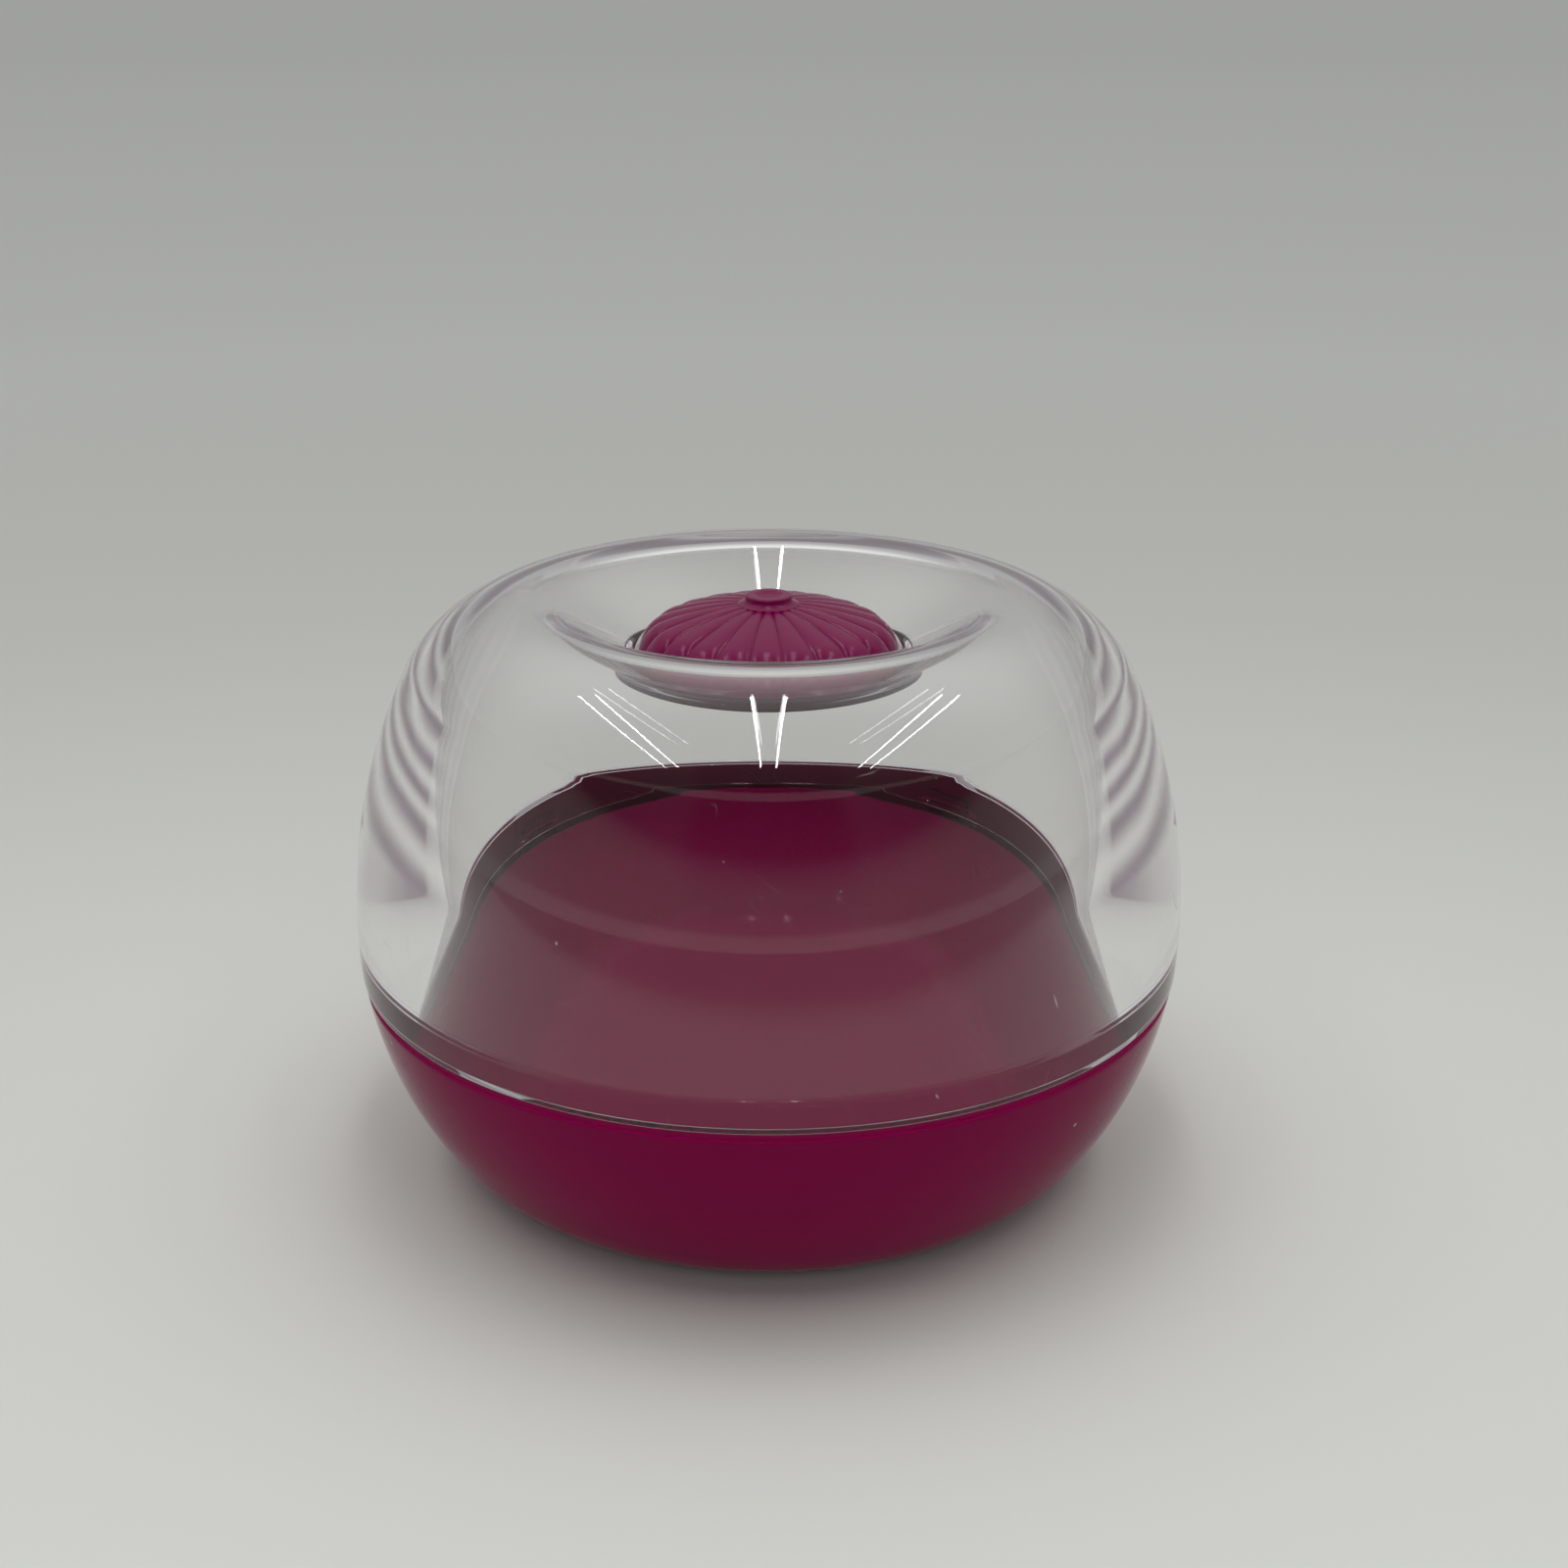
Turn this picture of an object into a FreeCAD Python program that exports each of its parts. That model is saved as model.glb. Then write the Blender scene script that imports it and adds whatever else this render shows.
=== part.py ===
"""Gumball jar: a magenta bowl, a thick clear dome with a dished top, and a fluted cap in the dome's neck.

Millimetres, +Z up. The origin is the centre of the bowl's foot, on the surface that it stands on.
"""
import FreeCAD, Part
import math
import os
import Sketcher

# Driving sizes: each one can be set by itself
SIZES = [
    ("overall_height", 85.0),
    ("belly_height", 38.8),
    ("belly_radius", 59.7),
    ("join_height", 31.6),
    # Dome
    ("dome_side_radius", 80.5),
    ("shoulder_radius", 20.0),
    ("dome_wall", 2.6),
    ("roll_radius", 8.0),
    ("funnel_slope", 33.0),
    ("lip_radius", 1.2),
    ("neck_wall", 2.6),
    ("neck_drop", 2.5),
    ("web_radius", 1.0),
    ("ledge_thickness", 1.4),
    ("spigot_depth", 5.6),
    ("core_side_radius", 78.0),
    ("core_shoulder_radius", 14.0),
    ("core_lift", 12.0),
    ("spigot_gap", 0.3),
    # Lugs on the spigot and the notches that take them
    ("lug_count", 4),
    ("lug_angle", 45.0),
    ("lug_width", 9.0),
    ("lug_height", 1.6),
    ("lug_reach", 1.0),
    ("lug_rise", 1.0),
    ("notch_side_gap", 1.5),
    # Bowl
    ("base_side_radius", 55.0),
    ("heel_radius", 18.8),
    ("base_wall", 2.6),
    ("floor_corner", 7.0),
    ("foot_ring", 5.0),
    ("foot_recess", 0.8),
    ("rim_wall", 2.9),
    ("step_height", 1.2),
    ("step_depth", 0.7),
    # Cap, plug, stud and seal
    ("cap_radius", 18.5),
    ("cap_gap", 0.35),
    ("cap_top_radius", 45.0),
    ("cap_corner_radius", 5.5),
    ("cap_wall", 2.0),
    ("skirt_height", 0.9),
    ("flute_count", 22),
    ("flute_depth", 0.7),
    ("seal_thickness", 0.6),
    ("plug_gap", 0.1),
    ("plug_wall", 1.6),
    ("plug_floor", 1.4),
    ("post_wall", 2.2),
    ("stud_radius", 1.8),
    ("stud_gap", 0.05),
    ("nub_foot_radius", 4.3),
    ("nub_radius", 3.3),
    ("nub_height", 1.3),
    ("nub_flare", 0.6),
    ("nub_edge", 0.35),
    ("dimple_radius", 2.1),
    ("dimple_depth", 0.55),
]

# Sizes worked out from the driving ones, in the same sheet
WORKED = [
    # Outside of the dome: side arc, shoulder arc and the crest where they end
    ("shoulder_z", "overall_height - shoulder_radius"),
    ("dome_side_x", "belly_radius - dome_side_radius"),
    ("dome_arc_ratio", "dome_side_radius / (dome_side_radius - shoulder_radius)"),
    ("crest_radius", "dome_side_x + sqrt((dome_side_radius - shoulder_radius)^2 - (shoulder_z - belly_height)^2)"),
    ("shoulder_join_x", "dome_side_x + (crest_radius - dome_side_x) * dome_arc_ratio"),
    ("shoulder_join_z", "belly_height + (shoulder_z - belly_height) * dome_arc_ratio"),
    ("dome_foot_radius", "dome_side_x + sqrt(dome_side_radius^2 - (belly_height - join_height)^2)"),
    # Dish inside the crest, down to the lip of the neck
    ("roll_z", "overall_height - roll_radius"),
    ("funnel_top_x", "crest_radius - roll_radius * sin(funnel_slope)"),
    ("funnel_top_z", "roll_z + roll_radius * cos(funnel_slope)"),
    ("bore_radius", "cap_radius + cap_gap"),
    ("lip_x", "bore_radius + lip_radius"),
    ("lip_z", "funnel_top_z - (funnel_top_x - lip_x) * tan(funnel_slope) - lip_radius / cos(funnel_slope)"),
    ("lip_end_x", "lip_x - lip_radius * sin(funnel_slope)"),
    ("lip_end_z", "lip_z + lip_radius * cos(funnel_slope)"),
    # Underside of the dish, the neck and its ledge
    ("inner_roll_radius", "roll_radius - dome_wall"),
    ("under_top_x", "crest_radius - inner_roll_radius * sin(funnel_slope)"),
    ("under_top_z", "roll_z + inner_roll_radius * cos(funnel_slope)"),
    ("neck_radius", "bore_radius + neck_wall"),
    ("neck_foot_z", "under_top_z - (under_top_x - neck_radius) * tan(funnel_slope) - neck_drop"),
    ("web_x", "neck_radius + web_radius"),
    ("web_z", "under_top_z - (under_top_x - web_x) * tan(funnel_slope) - web_radius / cos(funnel_slope)"),
    ("web_end_x", "web_x - web_radius * sin(funnel_slope)"),
    ("web_end_z", "web_z + web_radius * cos(funnel_slope)"),
    ("seat_z", "neck_foot_z + ledge_thickness"),
    ("ledge_radius", "plug_radius + cap_gap"),
    # Inside of the dome: an upright wall, a long side arc and a tighter shoulder
    ("inner_crest_z", "overall_height - dome_wall"),
    ("core_shoulder_z", "inner_crest_z - core_shoulder_radius"),
    ("core_side_z", "belly_height + core_lift"),
    ("core_arc_run", "core_side_radius - core_shoulder_radius"),
    ("core_side_x", "crest_radius - sqrt(core_arc_run^2 - (core_shoulder_z - core_side_z)^2)"),
    ("mouth_radius", "core_side_x + core_side_radius"),
    ("core_join_x", "core_side_x + (crest_radius - core_side_x) * core_side_radius / core_arc_run"),
    ("core_join_z", "core_side_z + (core_shoulder_z - core_side_z) * core_side_radius / core_arc_run"),
    # Joint between dome and bowl
    ("base_side_x", "belly_radius - base_side_radius"),
    ("base_join_radius", "base_side_x + sqrt(base_side_radius^2 - (belly_height - join_height)^2)"),
    ("rebate_radius", "base_join_radius - rim_wall"),
    ("spigot_radius", "rebate_radius - spigot_gap"),
    ("spigot_foot_z", "join_height - spigot_depth"),
    ("rebate_z", "spigot_foot_z - spigot_gap"),
    ("lug_z", "spigot_foot_z + lug_rise"),
    ("lug_root_x", "(spigot_radius + mouth_radius) / 2"),
    ("lug_tip_x", "spigot_radius + lug_reach"),
    ("lug_half", "lug_width / 2"),
    ("notch_z", "lug_z - spigot_gap"),
    ("notch_tip_x", "lug_tip_x + spigot_gap"),
    ("notch_half", "lug_half + notch_side_gap"),
    # Bowl
    ("step_z", "join_height - step_height"),
    ("step_outer_x", "base_side_x + sqrt(base_side_radius^2 - (belly_height - step_z)^2)"),
    ("step_x", "base_join_radius - step_depth"),
    ("base_arc_run", "base_side_radius - heel_radius"),
    ("foot_radius", "base_side_x + sqrt(base_arc_run^2 - (belly_height - heel_radius)^2)"),
    ("heel_join_x", "base_side_x + (foot_radius - base_side_x) * base_side_radius / base_arc_run"),
    ("heel_join_z", "belly_height + (heel_radius - belly_height) * base_side_radius / base_arc_run"),
    ("inner_side_radius", "base_side_radius - base_wall"),
    ("floor_z", "foot_recess + base_wall"),
    ("floor_corner_z", "floor_z + floor_corner"),
    ("floor_corner_run", "inner_side_radius - floor_corner"),
    ("floor_corner_x", "base_side_x + sqrt(floor_corner_run^2 - (belly_height - floor_corner_z)^2)"),
    ("inner_join_x", "base_side_x + (floor_corner_x - base_side_x) * inner_side_radius / floor_corner_run"),
    ("inner_join_z", "belly_height + (floor_corner_z - belly_height) * inner_side_radius / floor_corner_run"),
    ("inner_top_x", "base_side_x + sqrt(inner_side_radius^2 - (belly_height - rebate_z)^2)"),
    ("recess_radius", "foot_radius - foot_ring"),
    # Cap
    ("cap_foot_z", "seat_z + seal_thickness"),
    ("cap_corner_z", "cap_foot_z + skirt_height"),
    ("cap_corner_x", "cap_radius - cap_corner_radius"),
    ("cap_arc_run", "cap_top_radius - cap_corner_radius"),
    ("cap_arc_rise", "sqrt(cap_arc_run^2 - cap_corner_x^2)"),
    ("cap_centre_z", "cap_corner_z - cap_arc_rise"),
    ("cap_top_z", "cap_centre_z + sqrt(cap_top_radius^2 - nub_foot_radius^2)"),
    ("hollow_radius", "cap_radius - cap_wall"),
    ("hollow_corner_radius", "cap_corner_radius - cap_wall"),
    ("hollow_top_radius", "cap_top_radius - cap_wall"),
    ("hollow_join_x", "cap_corner_x * hollow_top_radius / cap_arc_run"),
    ("hollow_join_z", "cap_centre_z + cap_arc_rise * hollow_top_radius / cap_arc_run"),
    ("stud_hole_radius", "stud_radius + stud_gap"),
    ("hollow_top_z", "cap_centre_z + sqrt(hollow_top_radius^2 - stud_hole_radius^2)"),
    ("hollow_low_z", "cap_foot_z - seal_thickness"),
    ("hollow_high_z", "cap_top_z + nub_height"),
    # Plug, seal and stud
    ("plug_radius", "hollow_radius - plug_gap"),
    ("plug_inner_radius", "plug_radius - plug_wall"),
    ("plug_floor_z", "neck_foot_z + plug_floor"),
    ("post_radius", "stud_hole_radius + post_wall"),
    ("post_top_z", "cap_centre_z + sqrt(hollow_top_radius^2 - post_radius^2) - stud_gap"),
    ("seal_inner_radius", "plug_radius + cap_gap"),
    ("seal_outer_radius", "bore_radius - cap_gap"),
    ("stud_foot_z", "plug_floor_z + stud_gap"),
    ("nub_flare_z", "cap_top_z + nub_flare"),
    ("nub_top_z", "cap_top_z + nub_height"),
    ("nub_edge_x", "nub_radius - nub_edge"),
    ("nub_edge_z", "nub_top_z - nub_edge"),
    ("dimple_z", "nub_top_z - dimple_depth"),
    ("dimple_arc_radius", "(dimple_radius^2 + dimple_depth^2) / (2 * dimple_depth)"),
    ("dimple_centre_z", "dimple_z + dimple_arc_radius"),
]

AXIS = "axis"
ORIGIN, UPRIGHT_AXIS = -1, -2
START = 1
END = START + 1

doc = FreeCAD.newDocument("gumball_jar")
sheet = doc.addObject("Spreadsheet::Sheet", "Sizes")


def fill_sheet():
    """Write the driving sizes as plain numbers and the worked sizes as formulas."""
    rows = [(name, str(value)) for name, value in SIZES]
    rows += [(name, "=" + formula) for name, formula in WORKED]
    for number, (name, text) in enumerate(rows, start=1):
        sheet.set("A%d" % number, name)
        sheet.set("B%d" % number, text)
        sheet.setAlias("B%d" % number, name)
    doc.recompute()


def size(name):
    """Value of one size in the sheet; the axis is at zero."""
    return 0.0 if name == AXIS else float(sheet.get(name))


def new_body(name):
    body = doc.addObject("PartDesign::Body", name)
    body.Label = name
    return body


def attach(sketch, body, role):
    plane = [item for item in body.Origin.OriginFeatures if item.Role == role][0]
    sketch.AttachmentSupport = [(plane, "")]
    sketch.MapMode = "FlatFace"


def bind(sketch, index, name):
    sketch.setExpression("Constraints[%d]" % index, "Sizes." + name)


def pin_point(sketch, item, end, across, up):
    """Tie a point of the sketch to two sizes, or to the axis."""
    if across == AXIS:
        sketch.addConstraint(Sketcher.Constraint("PointOnObject", item, end, UPRIGHT_AXIS))
    else:
        index = sketch.addConstraint(Sketcher.Constraint("DistanceX", ORIGIN, START, item, end, size(across)))
        bind(sketch, index, across)
    if up == AXIS:
        sketch.addConstraint(Sketcher.Constraint("PointOnObject", item, end, ORIGIN))
    else:
        index = sketch.addConstraint(Sketcher.Constraint("DistanceY", ORIGIN, START, item, end, size(up)))
        bind(sketch, index, up)


def arc_between(first, last, centre):
    """Arc of under half a circle, and whether it runs from first to last."""
    begin = math.atan2(first.y - centre.y, first.x - centre.x)
    turn = math.atan2(last.y - centre.y, last.x - centre.x) - begin
    turn = (turn + math.pi) % (2 * math.pi) - math.pi
    circle = Part.Circle(centre, FreeCAD.Vector(0, 0, 1), first.distanceToPoint(centre))
    if turn > 0:
        return Part.ArcOfCircle(circle, begin, begin + turn), True
    return Part.ArcOfCircle(circle, begin + turn, begin), False


def outline(body, name, points):
    """Closed half section in the XZ plane.

    Each point is (across, up) or, where an arc leads to the next point, (across, up, radius, centre across, centre up).
    """
    sketch = body.newObject("Sketcher::SketchObject", name)
    attach(sketch, body, "XZ_Plane")
    places = [FreeCAD.Vector(size(point[0]), size(point[1]), 0) for point in points]
    ends = []
    for index, point in enumerate(points):
        first = places[index]
        last = places[(index + 1) % len(places)]
        if len(point) == 2:
            item = sketch.addGeometry(Part.LineSegment(first, last), False)
            ends.append((item, START, END))
            continue
        arc, forward = arc_between(first, last, FreeCAD.Vector(size(point[3]), size(point[4]), 0))
        item = sketch.addGeometry(arc, False)
        ends.append((item, START, END) if forward else (item, END, START))
    for index, (item, begin, finish) in enumerate(ends):
        after, after_begin, _ = ends[(index + 1) % len(ends)]
        sketch.addConstraint(Sketcher.Constraint("Coincident", item, finish, after, after_begin))
    for point, (item, begin, finish) in zip(points, ends):
        pin_point(sketch, item, begin, point[0], point[1])
        if len(point) > 2:
            index = sketch.addConstraint(Sketcher.Constraint("Radius", item, size(point[2])))
            bind(sketch, index, point[2])
    return sketch


def turned(body, name, points):
    """Solid of revolution about Z from a half section."""
    sketch = outline(body, name + "_section", points)
    feature = body.newObject("PartDesign::Revolution", name + "_turned")
    feature.Profile = sketch
    feature.ReferenceAxis = (sketch, ["V_Axis"])
    feature.Angle = 360
    body.Tip = feature
    return feature


def block_sketch(body, name, near, far, half, level):
    """Rectangle across +X, turned to the lugs' angle, at a height."""
    sketch = body.newObject("Sketcher::SketchObject", name)
    attach(sketch, body, "XY_Plane")
    turn = FreeCAD.Rotation(FreeCAD.Vector(0, 0, 1), size("lug_angle"))
    sketch.AttachmentOffset = FreeCAD.Placement(FreeCAD.Vector(0, 0, size(level)), turn)
    sketch.setExpression("AttachmentOffset.Base.z", "Sizes." + level)
    low = -size(half)
    corners = [
        FreeCAD.Vector(size(near), low, 0),
        FreeCAD.Vector(size(far), low, 0),
        FreeCAD.Vector(size(far), -low, 0),
        FreeCAD.Vector(size(near), -low, 0),
    ]
    sides = [sketch.addGeometry(Part.LineSegment(corners[n], corners[(n + 1) % 4]), False) for n in range(4)]
    for n, side in enumerate(sides):
        sketch.addConstraint(Sketcher.Constraint("Coincident", side, END, sides[(n + 1) % 4], START))
        sketch.addConstraint(Sketcher.Constraint("Vertical" if n % 2 else "Horizontal", side))
    for side, across in ((sides[0], near), (sides[1], far)):
        index = sketch.addConstraint(Sketcher.Constraint("DistanceX", ORIGIN, START, side, START, size(across)))
        bind(sketch, index, across)
    index = sketch.addConstraint(Sketcher.Constraint("DistanceY", ORIGIN, START, sides[2], START, size(half)))
    bind(sketch, index, half)
    index = sketch.addConstraint(Sketcher.Constraint("DistanceY", sides[0], START, ORIGIN, START, size(half)))
    bind(sketch, index, half)
    return sketch


def around(body, feature, sketch):
    """Repeat a feature round Z, once for each lug."""
    pattern = body.newObject("PartDesign::PolarPattern", feature.Name + "_round")
    pattern.Originals = [feature]
    pattern.Axis = (sketch, ["N_Axis"])
    pattern.Angle = 360
    pattern.setExpression("Occurrences", "Sizes.lug_count")
    body.Tip = pattern
    doc.recompute()
    return pattern


def make_base_bowl():
    body = new_body("base_bowl")
    turned(body, "base_bowl", [
        (AXIS, "foot_recess"),
        ("recess_radius", "foot_recess"),
        ("recess_radius", AXIS),
        ("foot_radius", AXIS, "heel_radius", "foot_radius", "heel_radius"),
        ("heel_join_x", "heel_join_z", "base_side_radius", "base_side_x", "belly_height"),
        ("step_outer_x", "step_z"),
        ("step_x", "step_z"),
        ("step_x", "join_height"),
        ("rebate_radius", "join_height"),
        ("rebate_radius", "rebate_z"),
        ("inner_top_x", "rebate_z", "inner_side_radius", "base_side_x", "belly_height"),
        ("inner_join_x", "inner_join_z", "floor_corner", "floor_corner_x", "floor_corner_z"),
        ("floor_corner_x", "floor_z"),
        (AXIS, "floor_z"),
    ])
    doc.recompute()
    before = body.Shape.Volume
    sketch = block_sketch(body, "notch_section", "lug_root_x", "notch_tip_x", "notch_half", "notch_z")
    notch = body.newObject("PartDesign::Pocket", "notch")
    notch.Profile = sketch
    notch.Reversed = True
    notch.setExpression("Length", "Sizes.spigot_depth")
    around(body, notch, sketch)
    if body.Shape.Volume >= before:
        raise RuntimeError("the notches cut nothing")
    return body


def make_clear_dome():
    body = new_body("clear_dome")
    turned(body, "clear_dome", [
        ("spigot_radius", "join_height"),
        ("dome_foot_radius", "join_height", "dome_side_radius", "dome_side_x", "belly_height"),
        ("shoulder_join_x", "shoulder_join_z", "shoulder_radius", "crest_radius", "shoulder_z"),
        ("crest_radius", "overall_height", "roll_radius", "crest_radius", "roll_z"),
        ("funnel_top_x", "funnel_top_z"),
        ("lip_end_x", "lip_end_z", "lip_radius", "lip_x", "lip_z"),
        ("bore_radius", "lip_z"),
        ("bore_radius", "seat_z"),
        ("ledge_radius", "seat_z"),
        ("ledge_radius", "neck_foot_z"),
        ("neck_radius", "neck_foot_z"),
        ("neck_radius", "web_z", "web_radius", "web_x", "web_z"),
        ("web_end_x", "web_end_z"),
        ("under_top_x", "under_top_z", "inner_roll_radius", "crest_radius", "roll_z"),
        ("crest_radius", "inner_crest_z", "core_shoulder_radius", "crest_radius", "core_shoulder_z"),
        ("core_join_x", "core_join_z", "core_side_radius", "core_side_x", "core_side_z"),
        ("mouth_radius", "core_side_z"),
        ("mouth_radius", "spigot_foot_z"),
        ("spigot_radius", "spigot_foot_z"),
    ])
    doc.recompute()
    before = body.Shape.Volume
    sketch = block_sketch(body, "lug_section", "lug_root_x", "lug_tip_x", "lug_half", "lug_z")
    lug = body.newObject("PartDesign::Pad", "lug")
    lug.Profile = sketch
    lug.setExpression("Length", "Sizes.lug_height")
    around(body, lug, sketch)
    if body.Shape.Volume <= before:
        raise RuntimeError("the lugs add nothing")
    return body


def flute_wire(radius, depth, level):
    """Closed ring of rounded lobes: one arc for each flute, from valley over crest to valley."""
    count = int(size("flute_count"))
    pitch = 2 * math.pi / count

    def spot(distance, angle):
        return FreeCAD.Vector(distance * math.cos(angle), distance * math.sin(angle), level)

    edges = []
    for number in range(count):
        start = (number - 0.5) * pitch
        valley = spot(radius - depth, start)
        crest = spot(radius, start + pitch / 2)
        edges.append(Part.Arc(valley, crest, spot(radius - depth, start + pitch)).toShape())
    return Part.Wire(edges)


def flute_rings():
    """Rings from the round skirt, over the corner arc and up the shallow top arc to the nub."""
    corner_steps = 5
    top_steps = 4
    rings = [
        (size("cap_radius"), 0.0, size("cap_foot_z")),
        (size("cap_radius"), 0.0, size("cap_corner_z")),
    ]
    last_angle = math.atan2(size("cap_arc_rise"), size("cap_corner_x"))
    for step in range(1, corner_steps + 1):
        angle = last_angle * step / corner_steps
        radius = size("cap_corner_x") + size("cap_corner_radius") * math.cos(angle)
        depth = size("flute_depth") * math.sin(math.pi / 2 * min(1.0, 2.0 * step / corner_steps))
        rings.append((radius, depth, size("cap_corner_z") + size("cap_corner_radius") * math.sin(angle)))
    outer = rings[-1][0]
    for step in range(1, top_steps + 1):
        radius = outer + (size("nub_foot_radius") - outer) * step / top_steps
        depth = size("flute_depth") * radius / outer
        level = size("cap_centre_z") + math.sqrt(size("cap_top_radius") ** 2 - radius ** 2)
        rings.append((radius, depth, level))
    return rings


def make_fluted_cap():
    lobes = doc.addObject("Part::Feature", "cap_lobes")
    lobes.Shape = Part.makeLoft([flute_wire(*ring) for ring in flute_rings()], True, False)
    lobes.Placement = FreeCAD.Placement()
    hollow = new_body("cap_hollow")
    turned(hollow, "cap_hollow", [
        (AXIS, "hollow_low_z"),
        ("hollow_radius", "hollow_low_z"),
        ("hollow_radius", "cap_corner_z", "hollow_corner_radius", "cap_corner_x", "cap_corner_z"),
        ("hollow_join_x", "hollow_join_z", "hollow_top_radius", AXIS, "cap_centre_z"),
        ("stud_hole_radius", "hollow_top_z"),
        ("stud_hole_radius", "hollow_high_z"),
        (AXIS, "hollow_high_z"),
    ])
    cap = doc.addObject("Part::Cut", "fluted_cap")
    cap.Label = "fluted_cap"
    cap.Base = lobes
    cap.Tool = hollow
    doc.recompute()
    if cap.Shape.Volume >= lobes.Shape.Volume:
        raise RuntimeError("the cap is not hollow")
    return cap


def make_cap_plug():
    body = new_body("cap_plug")
    turned(body, "cap_plug", [
        (AXIS, "neck_foot_z"),
        ("plug_radius", "neck_foot_z"),
        ("plug_radius", "cap_corner_z"),
        ("plug_inner_radius", "cap_corner_z"),
        ("plug_inner_radius", "plug_floor_z"),
        ("post_radius", "plug_floor_z"),
        ("post_radius", "post_top_z"),
        ("stud_hole_radius", "post_top_z"),
        ("stud_hole_radius", "plug_floor_z"),
        (AXIS, "plug_floor_z"),
    ])
    return body


def make_cap_seal():
    body = new_body("cap_seal")
    turned(body, "cap_seal", [
        ("seal_inner_radius", "seat_z"),
        ("seal_outer_radius", "seat_z"),
        ("seal_outer_radius", "cap_foot_z"),
        ("seal_inner_radius", "cap_foot_z"),
    ])
    return body


def make_centre_stud():
    body = new_body("centre_stud")
    turned(body, "centre_stud", [
        (AXIS, "stud_foot_z"),
        ("stud_radius", "stud_foot_z"),
        ("stud_radius", "cap_top_z"),
        ("nub_foot_radius", "cap_top_z"),
        ("nub_radius", "nub_flare_z"),
        ("nub_radius", "nub_edge_z", "nub_edge", "nub_edge_x", "nub_edge_z"),
        ("nub_edge_x", "nub_top_z"),
        ("dimple_radius", "nub_top_z", "dimple_arc_radius", AXIS, "dimple_centre_z"),
        (AXIS, "dimple_z"),
    ])
    return body


def check(parts):
    """Stop before writing if anything failed to build."""
    for item in doc.Objects:
        if "Invalid" in item.State or "Error" in item.State:
            raise RuntimeError("%s failed: %s" % (item.Name, item.State))
    for part in parts:
        if part.Shape.isNull() or not part.Shape.isValid() or len(part.Shape.Solids) != 1:
            raise RuntimeError("%s is not one valid solid" % part.Label)


def write(parts):
    os.makedirs("parts", exist_ok=True)
    for part in parts:
        part.Shape.exportStep(os.path.join("parts", part.Label + ".step"))
        box = part.Shape.BoundBox
        print("%-12s %9.1f mm3  z %.2f to %.2f" % (part.Label, part.Shape.Volume, box.ZMin, box.ZMax))


fill_sheet()
pieces = [
    make_base_bowl(),
    make_clear_dome(),
    make_fluted_cap(),
    make_cap_plug(),
    make_cap_seal(),
    make_centre_stud(),
]
doc.recompute()
check(pieces)
write(pieces)
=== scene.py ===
"""Gumball jar: glossy magenta bowl, thick clear dome with a dished top, and a fluted cap in the dome's neck.

Every piece is turned about Z from a half section, in millimetres, and stands for the CAD node of
the same name.
"""
import math

import bmesh
import bpy
from mathutils import Matrix, Vector


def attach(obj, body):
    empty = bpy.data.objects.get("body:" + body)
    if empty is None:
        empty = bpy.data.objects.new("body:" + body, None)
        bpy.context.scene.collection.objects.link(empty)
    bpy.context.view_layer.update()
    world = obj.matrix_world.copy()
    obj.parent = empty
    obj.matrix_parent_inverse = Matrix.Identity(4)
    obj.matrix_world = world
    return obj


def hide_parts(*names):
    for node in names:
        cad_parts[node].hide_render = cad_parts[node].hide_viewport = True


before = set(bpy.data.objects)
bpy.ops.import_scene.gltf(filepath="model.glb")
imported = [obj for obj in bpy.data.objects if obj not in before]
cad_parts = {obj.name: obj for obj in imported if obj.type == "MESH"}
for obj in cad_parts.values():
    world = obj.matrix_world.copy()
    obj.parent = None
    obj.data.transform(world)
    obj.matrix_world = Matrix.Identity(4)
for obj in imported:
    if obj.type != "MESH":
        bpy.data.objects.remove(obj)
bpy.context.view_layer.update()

MM = 0.001

# Sizes of the jar, in millimetres, as in the solids
OVERALL_HEIGHT = 85.0
BELLY_HEIGHT = 38.8
BELLY_RADIUS = 59.7
JOIN_HEIGHT = 31.6
DOME_SIDE_RADIUS = 80.5
SHOULDER_RADIUS = 20.0
DOME_WALL = 2.6
CORE_SIDE_RADIUS = 78.0
CORE_SHOULDER_RADIUS = 14.0
CORE_LIFT = 12.0
ROLL_RADIUS = 8.0
FUNNEL_SLOPE = math.radians(33.0)
LIP_RADIUS = 1.2
NECK_WALL = 2.6
NECK_DROP = 2.5
WEB_RADIUS = 1.0
LEDGE_THICKNESS = 1.4
SPIGOT_DEPTH = 5.6
SPIGOT_GAP = 0.3
LUG_COUNT = 4
LUG_ANGLE = math.radians(45.0)
LUG_WIDTH = 9.0
LUG_HEIGHT = 1.6
LUG_REACH = 1.0
LUG_RISE = 1.0
LUG_EDGE = 0.2
LUG_SIDE_SLOPE = 0.8
NOTCH_SIDE_GAP = 1.5
BASE_SIDE_RADIUS = 55.0
HEEL_RADIUS = 18.8
BASE_WALL = 2.6
FLOOR_CORNER = 7.0
FOOT_RING = 5.0
FOOT_RECESS = 0.8
RIM_WALL = 2.9
STEP_HEIGHT = 1.2
STEP_DEPTH = 0.7
CAP_RADIUS = 18.5
CAP_GAP = 0.35
CAP_TOP_RADIUS = 45.0
CAP_CORNER_RADIUS = 5.5
CAP_WALL = 2.0
SKIRT_HEIGHT = 0.9
FLUTE_COUNT = 22
FLUTE_DEPTH = 0.7
FLUTE_ROUNDNESS = 0.94
FLUTE_RISE = 2.5
FLUTE_INNER_SHARE = 0.35
FLUTE_STEPS = 14
HOLE_EDGE_DROP = 0.2
SEAL_THICKNESS = 0.6
PLUG_GAP = 0.1
PLUG_WALL = 1.6
PLUG_FLOOR = 1.4
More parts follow.
